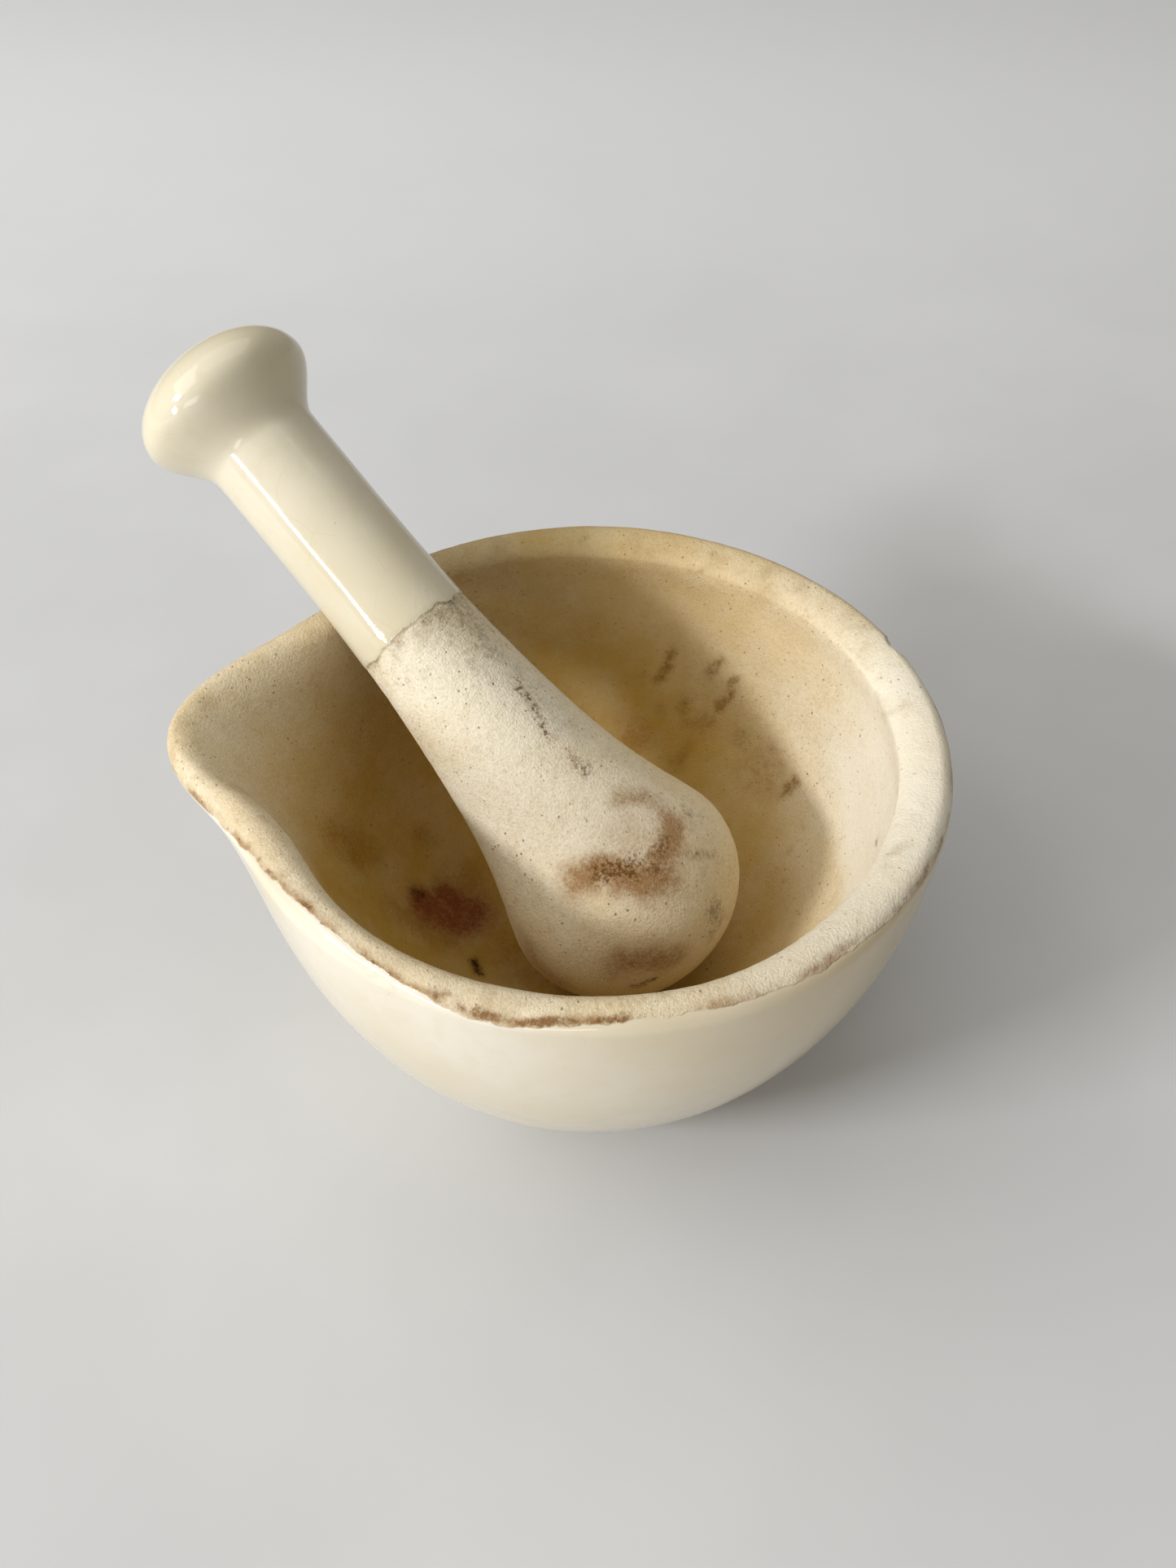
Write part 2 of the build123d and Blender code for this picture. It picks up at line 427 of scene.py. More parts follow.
def mortar_marks(grid):
    """How strong each kind of stain is at each point of the mortar's skin.

    Each stain is a path, its width in mm and its share of the full strength.
    """
    warp(grid)
    dark, amber, purple, rim_brown = (np.zeros(grid.shape[:2]) for _ in range(4))
    for path, width, share in (
        ([(33, 73), (30.5, 74), (28.5, 76)], 1.0, 0.85),
        ([(34, 61), (32, 62), (31, 63)], 1.1, 0.8),
        ([(31.7, 55), (29.5, 56), (27.4, 58)], 1.1, 0.85),
        ([(25.5, 27), (23, 28)], 1.0, 1.0),
        ([(26.5, 67), (25.5, 67)], 1.5, 0.65),
        ([(23.5, 64), (24.2, 60), (25.2, 59)], 1.6, 0.55),
        ([(25, 49)], 1.8, 0.6),
        ([(20, 63), (18, 63)], 1.5, 0.5),
        ([(28.5, 80)], 1.3, 0.5),
        ([(24.5, 73)], 1.3, 0.5),
        ([(26, 39)], 1.3, 0.5),
        ([(22.5, 15)], 0.8, 0.5),
        ([(18.5, 4)], 0.8, 0.6),
        ([(20, 13)], 0.8, 0.5),
        ([(36.8, -8), (36.2, -9)], 0.5, 0.9),
    ):
        dark = np.maximum(dark, share * smear(grid, [on_bowl(*p) for p in path], width))
    for path, width, share in (
        ([(20, 81)], 4.0, 0.95),
        ([(23, 38)], 6.0, 0.6),
        ([(25, 62)], 9.0, 0.4),
        ([(28, -175), (24, -177)], 4.0, 0.75),
        ([(19.5, -167)], 3.0, 0.6),
        ([(22, 180)], 3.0, 0.6),
        ([(17, 162)], 3.0, 0.6),
        ([(17.8, -165), (14, -160)], 4.0, 0.7),
        ([(11.5, 165)], 5.0, 0.8),
        ([(9, -90), (9, -150)], 6.0, 0.7),
    ):
        amber = np.maximum(amber, share * smear(grid, [on_bowl(*p) for p in path], width))
    blotch = [(14.8, -174), (12.8, -168), (11.3, -172), (10.6, -179), (13, 180)]
    purple = smear(grid, [on_bowl(*p) for p in blotch], 3.4)
    black = smear(grid, [on_bowl(16, -177), on_bowl(15.5, -176)], 1.1)
    black = np.maximum(black, smear(grid, [on_bowl(11.8, -142), on_bowl(11.3, -149)], 1.0))
    black = np.maximum(black, 0.8 * smear(grid, [on_bowl(15, -123)], 1.0))
    for path, width, share in (
        ([(48, -133), (51, -130)], 0.6, 0.6),
        ([(50, -127), (44, -123)], 0.7, 0.8),
        ([(48, -118)], 0.8, 0.9),
        ([(46, -114), (38, -105)], 0.6, 0.7),
        ([(34, -103), (32, -98)], 0.7, 0.9),
        ([(36, -95), (42, -89)], 0.7, 1.0),
        ([(44, -87), (44, -83)], 0.7, 1.0),
        ([(46, -81)], 0.7, 0.9),
        ([(36, -78), (38, -62), (36, -40), (30, -25)], 0.8, 0.5),
        (
            [(40, -146), (56, -135), (54, -125), (48, -116), (28, -103), (28, -98), (42, -85), (44, -55)],
            0.55,
            0.85,
        ),
        ([(40, -160), (44, -140), (40, -120)], 0.9, 0.35),
        ([(18, -25), (12, 5), (14, 22)], 0.8, 0.55),
        ([(14, 26), (12, 60)], 0.7, 0.4),
    ):
        rim_brown = np.maximum(rim_brown, share * smear(grid, [on_rim(*p) for p in path], width))
    for path, width, share in (
        ([(55, -71), (51, -69)], 0.9, 0.7),
        ([(19, -167), (28, -161)], 1.0, 0.8),
        ([(30, -164)], 0.8, 0.7),
        ([(121, -154)], 0.7, 0.6),
        ([(6, -175)], 0.5, 0.9),
        ([(66, -141)], 0.6, 0.9),
        ([(122, 95)], 1.0, 0.5),
        ([(180, 70), (172, 68)], 0.8, 0.6),
        ([(135, -92)], 1.2, 0.5),
    ):
        dark = np.maximum(dark, share * smear(grid, [on_rim(*p) for p in path], width))
    return {"dark": dark, "amber": amber, "purple": purple, "black": black, "rim_brown": rim_brown}


def chips(grid):
    """How deep, in mm, the skin is knocked in at each point by the chips."""
    depth = np.zeros(grid.shape[:2])
    flakes = (  # heading, height, radius and depth of each
        (24.6, HEIGHT - 1.2, 2.3, 1.5),
        (22.9, HEIGHT - 1.8, 1.5, 0.7),
        (-117.9, HEIGHT - 1.4, 0.9, 0.25),
        (-86.0, 0.6, 2.2, 0.35),
    )
    ragged = 0.35 * field(grid, 1.1, 8)
    for angle, z, radius, deep in flakes:
        turn = math.radians(angle)
        r = float(outer_radius(min(z, SHOULDER_Z))) - 0.2
        centre = np.array([r * math.cos(turn), r * math.sin(turn), z])
        gap = np.linalg.norm(grid - centre, axis=-1) / radius + ragged
        depth += deep * smooth(1.0, 0.45, gap)
    return depth


# ---------------------------------------------------------------------------------------------
# The pestle's shape
# ---------------------------------------------------------------------------------------------
def pestle_radius(s):
    """Radius at distance s from the tip, in mm."""
    neck = PESTLE_LENGTH - NECK_BELOW_TOP
    knob = PESTLE_LENGTH - KNOB_DOME
    stations = [HEAD_DOME + station for station in SHAFT_STATIONS] + [neck]
    shaft = spline_through(stations, SHAFT_RADII + (NECK_RADIUS,), np.clip(s, HEAD_DOME, neck))
    head = HEAD_RADIUS * np.sqrt(np.clip(1 - ((HEAD_DOME - s) / HEAD_DOME) ** 2, 0, 1))
    cove = NECK_RADIUS + (KNOB_RADIUS - NECK_RADIUS) * smooth(neck, knob, s)
    dome = KNOB_RADIUS * np.sqrt(np.clip(1 - ((s - knob) / KNOB_DOME) ** 2, 0, 1))
    return np.select([s < HEAD_DOME, s < neck, s < knob], [head, shaft, cove], dome)


def pestle_stations():
    """Distances from the tip, closer together on the two domes and at the glaze's edge."""
    knob = PESTLE_LENGTH - KNOB_DOME
    pole_turn = 0.03
    head = HEAD_DOME * (1 - np.cos(np.linspace(pole_turn, math.pi / 2, HEAD_RINGS, endpoint=False)))
    shaft = np.linspace(HEAD_DOME, knob, SHAFT_RINGS, endpoint=False)
    dome = knob + KNOB_DOME * np.sin(np.linspace(0, math.pi / 2 - pole_turn, DOME_RINGS))
    return np.concatenate([head, shaft, dome])


def pestle_axes():
    """The pestle's own axes at rest, as columns: side, top and along."""
    flat = math.cos(LEAN_RISE)
    along = Vector((flat * math.cos(LEAN_HEADING), flat * math.sin(LEAN_HEADING), math.sin(LEAN_RISE)))
    side = Vector((0, 0, 1)).cross(along).normalized()
    return Matrix((side, along.cross(side), along)).transposed()


def on_pestle(s, turn):
    """The point on the pestle's skin s mm from the tip, turn degrees round from its side."""
    radius = float(pestle_radius(np.array([float(s)]))[0])
    return (radius * math.cos(math.radians(turn)), radius * math.sin(math.radians(turn)), s)


def pestle_piece():
    """The pestle's skin, with its glaze edge, stains and painted shade as attributes."""
    s = pestle_stations()
    turn = np.arange(AROUND_PESTLE) * 2 * math.pi / AROUND_PESTLE
    radius = pestle_radius(s)[:, None]
    x, y = radius * np.cos(turn)[None, :], radius * np.sin(turn)[None, :]
    grid = np.stack([x, y, np.repeat(s[:, None], AROUND_PESTLE, axis=1)], axis=-1)
    normal = skin_normals(grid)
    wave = 1.0 * field(grid * [1, 1, 0.05], 6.0, 11) + 0.8 * field(grid * [1, 1, 0.05], 2.4, 12)
    bare_by = PESTLE_GLAZE_START - grid[..., 2] + wave
    marks = pestle_marks(grid)
    lift = 0.12 * field(grid, 22.0, 13) + 0.05 * field(grid, 7.0, 14)
    lift += GLAZE_THICKNESS * smooth(0.35, -0.35, bare_by)
    lift += smooth(-0.4, 0.8, bare_by) * 0.035 * field(grid, 1.4, 15)
    grid = grid + normal * lift[..., None]
    axes = np.array(pestle_axes())
    grid = grid @ axes.T + np.array(TIP)
    top = axes @ np.array([0.0, 0.0, PESTLE_LENGTH]) + np.array(TIP)
    attributes = {"bare_by": (bare_by, PESTLE_GLAZE_START, -PESTLE_LENGTH)}
    for label, values in marks.items():
        attributes[label] = (values, 0.0, 0.0)
    return closed_skin("pestle_body", grid, TIP, tuple(top), attributes)


def pestle_marks(grid):
    """How strong each kind of stain and the painted shade is at each point of the pestle's skin."""
    warp(grid)
    crescent = [(21.5, 42), (21, 53), (19.5, 60), (16.5, 64), (15.5, 72), (17.5, 83), (19.5, 96)]
    fading = [(19.5, 96), (21.5, 100), (24, 98), (25.5, 88)]
    brown = smear(grid, [on_pestle(*p) for p in crescent], 2.8)
    brown = np.maximum(brown, 0.9 * smear(grid, [on_pestle(18.2, 57), on_pestle(16.4, 66)], 2.6))
    brown = np.maximum(brown, 0.65 * smear(grid, [on_pestle(*p) for p in fading], 2.2))
    brown = np.maximum(brown, 0.45 * smear(grid, [on_pestle(21.0, 74)], 5.5))
    low = [on_pestle(9.5, 35), on_pestle(8, 44), on_pestle(6, 51)]
    brown = np.maximum(brown, 0.75 * smear(grid, low, 3.2))
    brown = np.maximum(brown, 0.5 * smear(grid, [on_pestle(18.5, -7), on_pestle(11.5, -9)], 3.5))
    dark = 0.85 * smear(grid, [on_pestle(20.5, 53), on_pestle(18.5, 66)], 2.1)
    dark = np.maximum(dark, 0.6 * smear(grid, [on_pestle(16.6, 72), on_pestle(18.6, 84)], 1.8))
    for path, width, share in (
        ([(45, 96), (43, 92), (40.5, 90), (38, 86)], 0.9, 0.6),
        ([(34.2, 85), (32.8, 84), (31.4, 85)], 1.1, 0.6),
        ([(5.2, 24), (4.4, 34)], 0.9, 0.8),
    ):
        dark = np.maximum(dark, share * smear(grid, [on_pestle(*p) for p in path], width))
    # Painted shade: grey down the shaft's shaded right side below the glaze, here and in the second path
    # below; the others are grey marks
    grey_marks_and_shade = 0.55 * smear(grid, [on_pestle(58.3, 107), on_pestle(52, 103)], 3.6)
    for path, width, share in (
        ([(58.7, 79), (55, 79), (52, 81), (48, 80)], 0.9, 0.5),
        ([(52, 103), (47.5, 102), (43, 98), (37, 99)], 2.6, 0.35),
        ([(7.3, 89), (5.1, 90), (4.6, 81)], 1.8, 0.7),
        ([(19.5, 111), (18.4, 108), (17.2, 112), (16.4, 125)], 0.5, 0.8),
        ([(15.1, 89), (13.7, 94), (12.7, 102)], 0.8, 0.6),
        ([(59.6, 68), (59.4, 83), (59.8, 111)], 1.1, 0.9),
        ([(59.5, -9), (58.8, 5)], 1.0, 0.5),
    ):
        grey_marks_and_shade = np.maximum(grey_marks_and_shade, share * smear(grid, [on_pestle(*p) for p in path], width))
    return {"brown": brown, "dark": dark, "grey_marks_and_shade": grey_marks_and_shade}


# ---------------------------------------------------------------------------------------------
# Materials
# ---------------------------------------------------------------------------------------------
def srgb(red, green, blue):
    """A colour as it looks on screen, 0 to 255, as Blender's linear RGBA."""
    def linear(v):
        v /= 255
        return v / 12.92 if v <= 0.04045 else ((v + 0.055) / 1.055) ** 2.4

    return (linear(red), linear(green), linear(blue), 1.0)


class Graph:
    """Builds a material's nodes: each method adds what it needs and returns what to link on."""

    def __init__(self, name, origin=(0, 0, 0), axes=None):
        """The place, self.mm, is measured in mm from origin along axes."""
        self.material = bpy.data.materials.new(name)
        self.material.use_nodes = True
        self.nodes = self.material.node_tree.nodes
        self.links = self.material.node_tree.links
        self.shader = self.nodes["Principled BSDF"]
        place = self.nodes.new("ShaderNodeTexCoord")
        own = self.nodes.new("ShaderNodeMapping")
        own.vector_type = "TEXTURE"
        own.inputs["Location"].default_value = Vector(origin) * MM
        own.inputs["Rotation"].default_value = axes.to_euler() if axes else (0, 0, 0)
        own.inputs["Scale"].default_value = (MM,) * 3
        self.links.new(place.outputs["Object"], own.inputs["Vector"])
        self.mm = own.outputs["Vector"]

    def feed(self, socket, value):
        if isinstance(value, bpy.types.NodeSocket):
            self.links.new(value, socket)
        else:
            socket.default_value = value

    def math(self, operation, a, b=0.0, clamp=False):
        node = self.nodes.new("ShaderNodeMath")
        node.operation, node.use_clamp = operation, clamp
        self.feed(node.inputs[0], a)
        self.feed(node.inputs[1], b)
        return node.outputs[0]

    def vector(self, operation, a, b=(0, 0, 0)):
        node = self.nodes.new("ShaderNodeVectorMath")
        node.operation = operation
        self.feed(node.inputs[0], a)
        self.feed(node.inputs[1], b)
        return node.outputs["Value" if operation in ("LENGTH", "DOT_PRODUCT", "DISTANCE") else "Vector"]

    def scaled(self, vector, factor):
        node = self.nodes.new("ShaderNodeVectorMath")
        node.operation = "SCALE"
        self.feed(node.inputs[0], vector)
        self.feed(node.inputs["Scale"], factor)
        return node.outputs["Vector"]

    def stretched(self, factors):
        """The place, in mm, scaled by one factor along each axis."""
        return self.vector("MULTIPLY", self.mm, factors)

    def attribute(self, name):
        node = self.nodes.new("ShaderNodeAttribute")
        node.attribute_name = name
        return node.outputs["Fac"]

    def noise(self, size, detail=3.0, roughness=0.55, where=None, seed=0.0):
        """Noise from 0 to 1 whose lumps are about size mm across."""
        node = self.nodes.new("ShaderNodeTexNoise")
        node.noise_dimensions = "4D"
        node.inputs["W"].default_value = seed
        node.inputs["Scale"].default_value = 1 / size
        node.inputs["Detail"].default_value = detail
        node.inputs["Roughness"].default_value = roughness
        self.feed(node.inputs["Vector"], self.mm if where is None else where)
        return node.outputs["Fac"]

    def cells(self, size, feature="F1", where=None):
        """The node, not its output, of cells about size mm across."""
        node = self.nodes.new("ShaderNodeTexVoronoi")
        node.feature = feature
        node.inputs["Scale"].default_value = 1 / size
        self.feed(node.inputs["Vector"], self.mm if where is None else where)
        return node

    def dots(self, spacing, size, rare):
        """Small uneven dots up to size mm across, in the share of cells whose number is over rare."""
        node = self.cells(spacing)
        apart = self.nodes.new("ShaderNodeSeparateColor")
        self.feed(apart.inputs[0], node.outputs["Color"])
        reach = self.math("MULTIPLY", self.range(apart.outputs[1], 0.0, 1.0, 0.45, 1.0), size / spacing)
        inside = self.math("SUBTRACT", reach, node.outputs["Distance"])
        dot = self.range(inside, 0.0, 0.35 * size / spacing)
        return self.math("MULTIPLY", dot, self.range(apart.outputs[0], rare, rare + 0.02))

    def shaken(self, amount):
        """The place, in mm, moved about so that cell edges aren't straight."""
        node = self.nodes.new("ShaderNodeTexNoise")
        node.inputs["Scale"].default_value = 1 / 9.0
        self.feed(node.inputs["Vector"], self.mm)
        centred = self.vector("SUBTRACT", node.outputs["Color"], (0.5, 0.5, 0.5))
        return self.vector("ADD", self.mm, self.scaled(centred, amount))

    def range(self, value, low, high, start=0.0, end=1.0):
        """start where value is low, end where it is high, and an easy curve between."""
        node = self.nodes.new("ShaderNodeMapRange")
        node.interpolation_type = "SMOOTHSTEP"
        self.feed(node.inputs["Value"], value)
        node.inputs["From Min"].default_value = low
        node.inputs["From Max"].default_value = high
        node.inputs["To Min"].default_value = start
        node.inputs["To Max"].default_value = end
        return node.outputs[0]

    def mix(self, share, a, b):
        """Colour a where share is 0, b where it is 1."""
        node = self.nodes.new("ShaderNodeMix")
        node.data_type = "RGBA"
        self.feed(node.inputs["Factor"], share)
        self.feed(node.inputs["A"], a)
        self.feed(node.inputs["B"], b)
        return node.outputs["Result"]

    def blend(self, share, a, b):
        """Number a where share is 0, b where it is 1."""
        node = self.nodes.new("ShaderNodeMix")
        node.data_type = "FLOAT"
        self.feed(node.inputs["Factor"], share)
        self.feed(node.inputs["A"], a)
        self.feed(node.inputs["B"], b)
        return node.outputs["Result"]

    def streak(self, start, end, width, ragged):
        """1 along the line from start to end, 0 outside its uneven width."""
        a, b = Vector(start), Vector(end)
        run = b - a
        offset = self.vector("SUBTRACT", self.mm, tuple(a))
        along = self.vector("DOT_PRODUCT", offset, tuple(run))
        share = self.math("DIVIDE", along, run.length_squared, clamp=True)
        nearest = self.scaled(tuple(run), share)
        reach = self.vector("DISTANCE", offset, nearest)
        reach = self.math("ADD", self.math("DIVIDE", reach, width), ragged)
        return self.range(reach, 1.3, 0.4)

    def relief(self, height):
        """The bump's normal from a height in mm."""
        node = self.nodes.new("ShaderNodeBump")
        node.inputs["Strength"].default_value = 1.0
        node.inputs["Distance"].default_value = MM
        self.feed(node.inputs["Height"], height)
        return node.outputs["Normal"]


GLAZE_LIGHT = srgb(224, 217, 201)
GLAZE_WARM = srgb(215, 204, 178)
# Colour of the painted shade on the glaze
GLAZE_PAINTED_SHADE = srgb(196, 178, 142)
HANDLE_LIGHT = srgb(219, 211, 189)
HANDLE_WARM = srgb(210, 200, 171)
CLAY_PALE = srgb(238, 232, 216)
CLAY_LIGHT = srgb(229, 220, 198)
CLAY_WARM = srgb(219, 204, 173)
# Used both for wear and for painted shade
CLAY_WEAR_AND_SHADE = srgb(184, 150, 74)
CLAY_AMBER = srgb(150, 102, 30)
GRAIN = srgb(142, 114, 66)
DIRT = srgb(104, 78, 46)
DIRT_GREY = srgb(104, 84, 46)
STAIN_PURPLE = srgb(122, 54, 30)
STAIN_BLACK = srgb(52, 26, 12)
STAIN_OLIVE = srgb(126, 86, 6)
STAIN_BROWN = srgb(136, 90, 28)
STAIN_DARK = srgb(96, 60, 14)
STAIN_RIM = srgb(108, 66, 16)
PINHOLE = srgb(78, 62, 44)


def glazed_colour(g, light, warm):
    """A little yellower in slow patches, with sparse dark pinholes, faint specks and crazing."""
    colour = g.mix(g.range(g.noise(24.0, 2.0, seed=1.0), 0.35, 0.7), light, warm)
    colour = g.mix(g.range(g.noise(3.0, 5.0, 0.65, seed=15.0), 0.45, 0.75, 0.0, 0.5), colour, warm)
    plates = g.cells(11.0, "DISTANCE_TO_EDGE", g.shaken(4.0))
    crazed = g.range(plates.outputs["Distance"], 0.0, 0.007, 1.0, 0.0)
    patchy = g.range(g.noise(12.0, 2.0, seed=2.0), 0.5, 0.66)
    colour = g.mix(g.math("MULTIPLY", crazed, g.math("MULTIPLY", patchy, 0.12)), colour, DIRT)
    faint = g.dots(1.9, 0.15, 0.72)
    colour = g.mix(g.math("MULTIPLY", faint, 0.35), colour, DIRT_GREY)
    return g.mix(g.dots(5.5, 0.16, 0.72), colour, PINHOLE)


def clay_colour(g, pale, light, warm):
    """Cream biscuit: soft patches, fine mottling and scattered dark grains."""
    colour = g.mix(g.range(g.noise(14.0, 4.0, 0.6, seed=3.0), 0.34, 0.68), light, warm)
    mottle = g.noise(2.0, 4.0, 0.7, seed=5.0)
    colour = g.mix(g.range(mottle, 0.5, 0.75, 0.0, 0.25), colour, GRAIN)
    fine = g.noise(0.35, 3.0, 0.75, seed=4.0)
    colour = g.mix(g.range(fine, 0.5, 0.72, 0.0, 0.42), colour, GRAIN)
    colour = g.mix(g.range(fine, 0.48, 0.3, 0.0, 0.7), colour, pale)
    crowd = g.range(g.noise(8.0, 3.0, seed=30.0), 0.40, 0.62, 0.3, 1.0)
    grains = g.math("MULTIPLY", g.dots(0.95, 0.2, 0.5), crowd)
    colour = g.mix(g.math("MULTIPLY", grains, 0.7), colour, DIRT)
    return g.mix(g.math("MULTIPLY", g.dots(4.6, 0.27, 0.6), 0.8), colour, STAIN_DARK)


def clay_height(g):
    """Fine grit, small pits and a soft unevenness, in mm."""
    grit = g.math("MULTIPLY", g.noise(0.3, 2.0, 0.6, seed=6.0), 0.12)
    grit = g.math("ADD", grit, g.math("MULTIPLY", g.noise(1.1, 2.0, seed=16.0), 0.08))
    pits = g.math("MULTIPLY", g.dots(0.95, 0.2, 0.5), -0.10)
    holes = g.math("MULTIPLY", g.dots(4.6, 0.3, 0.6), -0.14)
    return g.math("ADD", g.math("ADD", grit, pits), holes)


def broken(g, mask, amount, size, seed, grit=0.5):
    """The mask with its strength broken up by lumps of noise and by the clay's own grain."""
    lumps = g.range(g.noise(size, 5.0, 0.7, seed=seed), 0.3, 0.7, 1 - amount, 1 + 0.5 * amount)
    fine = g.range(g.noise(0.45, 3.0, 0.7, seed=seed + 1), 0.35, 0.65, 1 - 0.8 * grit, 1 + 0.5 * grit)
    strength = g.math("MULTIPLY", mask, g.math("MULTIPLY", lumps, fine))
    return g.range(strength, 0.0, 0.95)


def finish_surface(g, colour, bare, height, bare_roughness, glaze_roughness):
    """Feeds the shader: glossy where bare is 0, and almost without shine where it is 1."""
    g.feed(g.shader.inputs["Base Color"], colour)
    g.feed(g.shader.inputs["Roughness"], g.blend(bare, glaze_roughness, bare_roughness))
    g.feed(g.shader.inputs["Specular IOR Level"], g.blend(bare, 0.5, 0.06))
    g.feed(g.shader.inputs["Normal"], g.relief(height))
    g.shader.inputs["IOR"].default_value = 1.52
    return g.material


def mortar_material():
    """Glaze outside with painted shade on its front right, and bare stained clay on the rim, in the bowl
    and under the base, with painted light and shade.
    """
    g = Graph("mortar_ceramic")
    bare_by = g.attribute("bare_by")
    fray = g.math("MULTIPLY", g.math("SUBTRACT", g.noise(1.1, 3.0, seed=7.0), 0.5), 0.7)
    edge = g.math("ADD", bare_by, fray)
    bare = g.range(edge, -0.12, 0.12)

    # Bare clay: yellower and darker down in the bowl, on its left and at the back, partly wear and partly
    # painted shade
    clay = clay_colour(g, CLAY_PALE, CLAY_LIGHT, CLAY_WARM)
    wear_shade_patches = g.range(g.noise(9.0, 4.0, 0.6, seed=9.0), 0.25, 0.75, 0.8, 1.1)
    # Painted light: paler on the lit right wall and rim, then browned lower down by wear and painted
    # shade
    clay = g.mix(g.range(g.attribute("wear_and_shade"), 0.22, 0.05, 0.0, 0.6), clay, CLAY_PALE)
    clay = g.mix(g.math("MULTIPLY", g.attribute("wear_and_shade"), wear_shade_patches, clamp=True), clay, CLAY_WEAR_AND_SHADE)
    amber = g.math("MULTIPLY", broken(g, g.attribute("amber"), 0.6, 5.0, 31.0, 0.3), 0.65)
    clay = g.mix(amber, clay, CLAY_AMBER)
    purple = g.math("MULTIPLY", broken(g, g.attribute("purple"), 0.2, 3.0, 33.0, 0.3), 0.88)
    clay = g.mix(purple, clay, STAIN_PURPLE)
    dark = g.math("MULTIPLY", broken(g, g.attribute("dark"), 0.5, 1.4, 35.0, 0.4), 0.75)
    clay = g.mix(dark, clay, STAIN_OLIVE)
    black = g.math("MULTIPLY", broken(g, g.attribute("black"), 0.4, 1.2, 39.0, 0.4), 0.95)
    clay = g.mix(black, clay, STAIN_BLACK)

    # Handled rim: dirt in patches along its crown, and a brown line where the glaze ends
    handled = g.math("MULTIPLY", g.range(bare_by, -0.5, 1.0), g.range(bare_by, 12.0, 6.5))
    grime = g.range(g.noise(7.0, 5.0, 0.65, seed=10.0), 0.50, 0.72)
    clay = g.mix(g.math("MULTIPLY", g.math("MULTIPLY", grime, handled), 0.35), clay, GRAIN)
    strokes = g.math("MULTIPLY", broken(g, g.attribute("rim_brown"), 0.6, 2.2, 37.0, 0.4), 0.85)
    clay = g.mix(strokes, clay, STAIN_RIM)
    crack = g.math("MULTIPLY", g.noise(0.8, 2.0, seed=14.0), 0.8)
    crack = g.streak(on_rim(68, 1.5), on_rim(40, 0.2), 0.24, crack)
    clay = g.mix(crack, clay, STAIN_DARK)
    line = g.math("MULTIPLY", g.range(edge, -0.2, 0.1), g.range(edge, 1.3, 0.2))
    heavy = g.range(g.noise(6.0, 4.0, 0.6, seed=12.0), 0.42, 0.68, 0.06, 0.65)
    glaze = glazed_colour(g, GLAZE_LIGHT, GLAZE_WARM)
    # Painted shade: darker glaze round the front right
    glaze = g.mix(g.attribute("glaze_shade"), glaze, GLAZE_PAINTED_SHADE)
    colour = g.mix(bare, glaze, clay)
    colour = g.mix(g.math("MULTIPLY", line, heavy), colour, STAIN_BROWN)

    glaze_height = g.math("MULTIPLY", g.noise(3.5, 2.0, seed=11.0), 0.03)
    height = g.blend(bare, glaze_height, clay_height(g))
    smudge = g.range(g.noise(9.0, 3.0, seed=13.0), 0.3, 0.7, 0.10, 0.2)
    return finish_surface(g, colour, bare, height, 0.72, smudge)


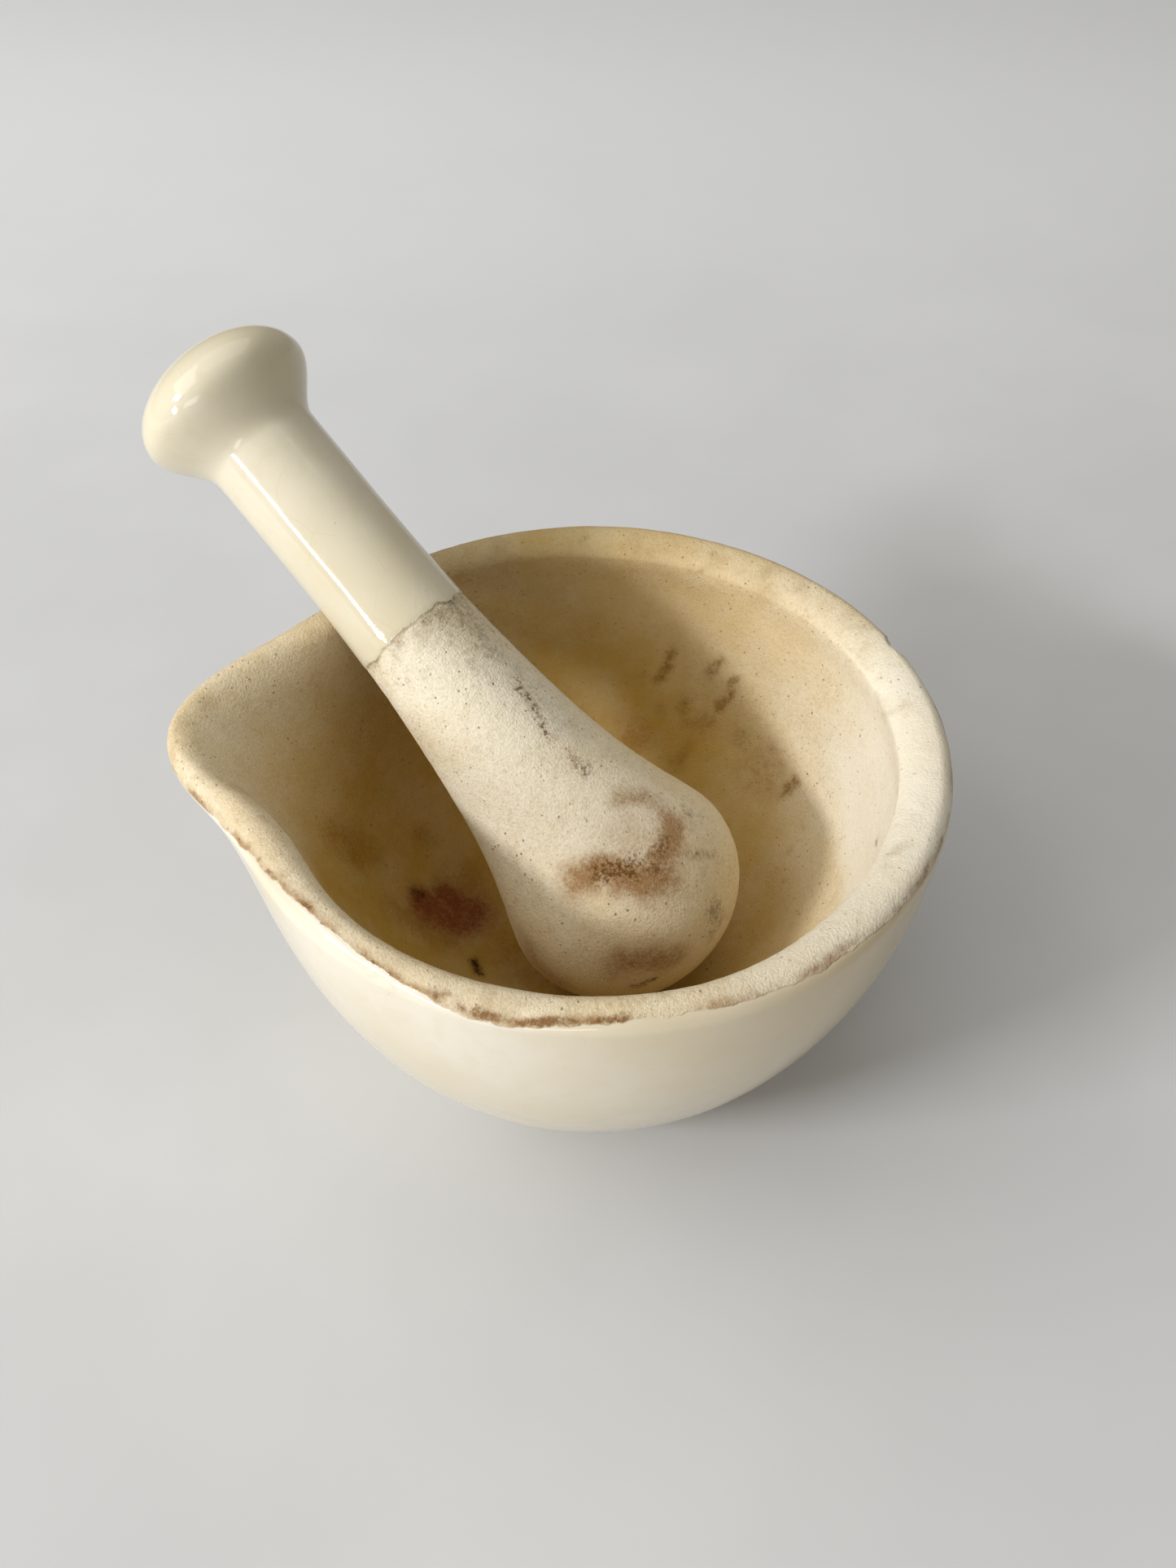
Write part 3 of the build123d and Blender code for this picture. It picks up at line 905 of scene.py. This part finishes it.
def pestle_material():
    """Glaze on the handle and knob, and bare stained clay on the head."""
    g = Graph("pestle_ceramic", TIP, pestle_axes())
    bare_by = g.attribute("bare_by")
    fray = g.math("MULTIPLY", g.math("SUBTRACT", g.noise(0.9, 3.0, seed=21.0), 0.5), 0.6)
    edge = g.math("ADD", bare_by, fray)
    bare = g.range(edge, -0.1, 0.1)

    clay = clay_colour(g, CLAY_PALE, CLAY_LIGHT, CLAY_WARM)
    # Yellower towards the tip: partly wear, partly painted shade
    clay = g.mix(g.range(bare_by, 22.0, 52.0, 0.0, 0.28), clay, CLAY_WEAR_AND_SHADE)
    # Grey marks, and painted shade on the shaft's right below the glaze
    grey_marks_and_shade = g.math("MULTIPLY", broken(g, g.attribute("grey_marks_and_shade"), 0.6, 2.0, 41.0, 0.7), 0.6)
    clay = g.mix(grey_marks_and_shade, clay, DIRT_GREY)
    brown = g.math("MULTIPLY", broken(g, g.attribute("brown"), 0.2, 2.6, 43.0, 0.3), 0.8)
    clay = g.mix(brown, clay, STAIN_BROWN)
    dark = g.math("MULTIPLY", broken(g, g.attribute("dark"), 0.4, 1.5, 45.0, 1.0), 0.9)
    clay = g.mix(dark, clay, STAIN_DARK)
    patches = g.range(g.noise(4.0, 4.0, 0.65, seed=23.0), 0.46, 0.72)
    soiled = g.math("MULTIPLY", g.range(edge, 7.0, 0.3), patches)
    clay = g.mix(g.math("MULTIPLY", soiled, 0.45), clay, DIRT_GREY)
    line = g.math("MULTIPLY", g.range(edge, -0.15, 0.05), g.range(edge, 0.55, 0.1))
    some = g.range(g.noise(3.0, 3.0, seed=27.0), 0.40, 0.62, 0.1, 0.6)
    glaze = glazed_colour(g, HANDLE_LIGHT, HANDLE_WARM)
    shake = g.math("MULTIPLY", g.noise(1.0, 2.0, seed=28.0), 0.9)
    crazes = (
        ((84.8, 44), (85.7, 55), (86.3, 70), (87.1, 85)),
        ((81.2, 43), (81.8, 58), (82.6, 79)),
        ((80.0, -3), (80.2, 13), (80.1, 28)),
    )
    for path in crazes:
        for start, end in zip(path, path[1:]):
            craze = g.streak(on_pestle(*start), on_pestle(*end), 0.2, shake)
            glaze = g.mix(g.math("MULTIPLY", craze, 0.3), glaze, DIRT)
    colour = g.mix(bare, glaze, clay)
    colour = g.mix(g.math("MULTIPLY", line, some), colour, DIRT_GREY)

    strokes = g.noise(0.3, 2.0, 0.6, where=g.stretched((1.0, 1.0, 0.3)), seed=24.0)
    height = g.math("ADD", clay_height(g), g.math("MULTIPLY", strokes, 0.05))
    glaze_height = g.math("MULTIPLY", g.noise(4.0, 2.0, seed=25.0), 0.03)
    puckered = g.math("MULTIPLY", g.range(edge, -7.0, -0.5), g.noise(0.9, 2.0, seed=29.0))
    glaze_height = g.math("ADD", glaze_height, g.math("MULTIPLY", puckered, 0.05))
    smudge = g.range(g.noise(9.0, 3.0, seed=26.0), 0.3, 0.7, 0.05, 0.12)
    return finish_surface(g, colour, bare, g.blend(bare, glaze_height, height), 0.78, smudge)


# ---------------------------------------------------------------------------------------------
# Floor, light and camera
# ---------------------------------------------------------------------------------------------
def make_floor():
    """A plain pale floor, 6 m across, with painted light: a little lighter towards the back, as the
    photograph's is.
    """
    half = 3.0
    corners = [(-half, -half, 0), (half, -half, 0), (half, half, 0), (-half, half, 0)]
    mesh = bpy.data.meshes.new("floor")
    mesh.from_pydata(corners, [], [(0, 1, 2, 3)])
    floor = bpy.data.objects.new("floor", mesh)
    bpy.context.scene.collection.objects.link(floor)
    g = Graph("floor_pale")
    tone = g.range(g.noise(60.0, 3.0, seed=40.0), 0.3, 0.7)
    colour = g.mix(tone, srgb(200, 201, 202), srgb(207, 208, 209))
    # Painted light: the floor's colour lightens towards the back
    back = g.nodes.new("ShaderNodeSeparateXYZ")
    g.feed(back.inputs[0], g.mm)
    far = g.range(back.outputs[1], 0.0, 450.0, 0.0, 0.9)
    g.feed(g.shader.inputs["Base Color"], g.mix(far, colour, srgb(234, 236, 238)))
    g.shader.inputs["Roughness"].default_value = 0.9
    mesh.materials.append(g.material)


def area_light(name, heading, rise, distance, width, height, power, tint, roll=0.0):
    """A soft panel at heading and rise degrees from the bowl, facing it and turned by roll degrees.

    Distance, width and height are in metres, and power is in watts.
    """
    lamp = bpy.data.lights.new(name, "AREA")
    lamp.shape, lamp.size, lamp.size_y = "RECTANGLE", width, height
    lamp.energy, lamp.color = power, tint
    piece = bpy.data.objects.new(name, lamp)
    bpy.context.scene.collection.objects.link(piece)
    turn, up = math.radians(heading), math.radians(rise)
    away = Vector((math.cos(up) * math.cos(turn), math.cos(up) * math.sin(turn), math.sin(up)))
    piece.location = away * distance + Vector((0, 0, 0.03))
    piece.rotation_mode = "QUATERNION"
    piece.rotation_quaternion = away.to_track_quat("Z", "Y") @ Quaternion((0, 0, 1), math.radians(roll))


def make_light():
    """One low window on the left, panels that fill its shade, and a dim warm room."""
    bpy.context.scene.view_settings.view_transform = "Standard"
    area_light("window", 210.0, 28.0, 1.1, 0.30, 0.10, 6.9, (0.985, 0.985, 1.0))
    area_light("side_panel", 228.0, 9.0, 1.0, 0.34, 0.10, 2.3, (1.0, 0.99, 0.97), roll=-36.0)
    area_light("front_panel", 262.0, 10.0, 1.2, 0.5, 0.3, 1.7, (1.0, 0.985, 0.96))
    area_light("left_panel", 197.0, 45.0, 1.2, 1.0, 0.60, 4.2, (1.0, 0.985, 0.95))
    area_light("ceiling", 120.0, 75.0, 1.2, 1.2, 1.2, 3.7, (1.0, 0.975, 0.93))
    world = bpy.data.worlds.new("room")
    bpy.context.scene.world = world
    world.use_nodes = True
    back = world.node_tree.nodes["Background"]
    back.inputs["Color"].default_value = (1.0, 0.965, 0.9, 1.0)
    back.inputs["Strength"].default_value = 0.27


def make_camera():
    """The photograph's view: from the front, looking down at about 46 degrees."""
    lens = bpy.data.cameras.new("camera")
    lens.lens, lens.sensor_width = 28.0, 36.0
    lens.clip_start, lens.clip_end = 0.01, 20.0
    camera = bpy.data.objects.new("camera", lens)
    bpy.context.scene.collection.objects.link(camera)
    camera.location = Vector((4.55, -113.26, 155.25)) * MM
    pitch, yaw, roll = math.radians(45.8), math.radians(2.63), math.radians(0.65)
    level = Matrix.Rotation(yaw, 4, "Z") @ Matrix.Rotation(math.pi / 2 - pitch, 4, "X")
    camera.rotation_mode = "QUATERNION"
    camera.rotation_quaternion = (level @ Matrix.Rotation(roll, 4, "Z")).to_quaternion()
    bpy.context.scene.camera = camera


# ---------------------------------------------------------------------------------------------
# Put together
# ---------------------------------------------------------------------------------------------
make_camera()

mortar = mortar_piece()
mortar.data.materials.append(mortar_material())
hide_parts("mortar")
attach(mortar, "mortar")

pestle = pestle_piece()
pestle.data.materials.append(pestle_material())
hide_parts("pestle")
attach(pestle, "pestle")

make_floor()
make_light()
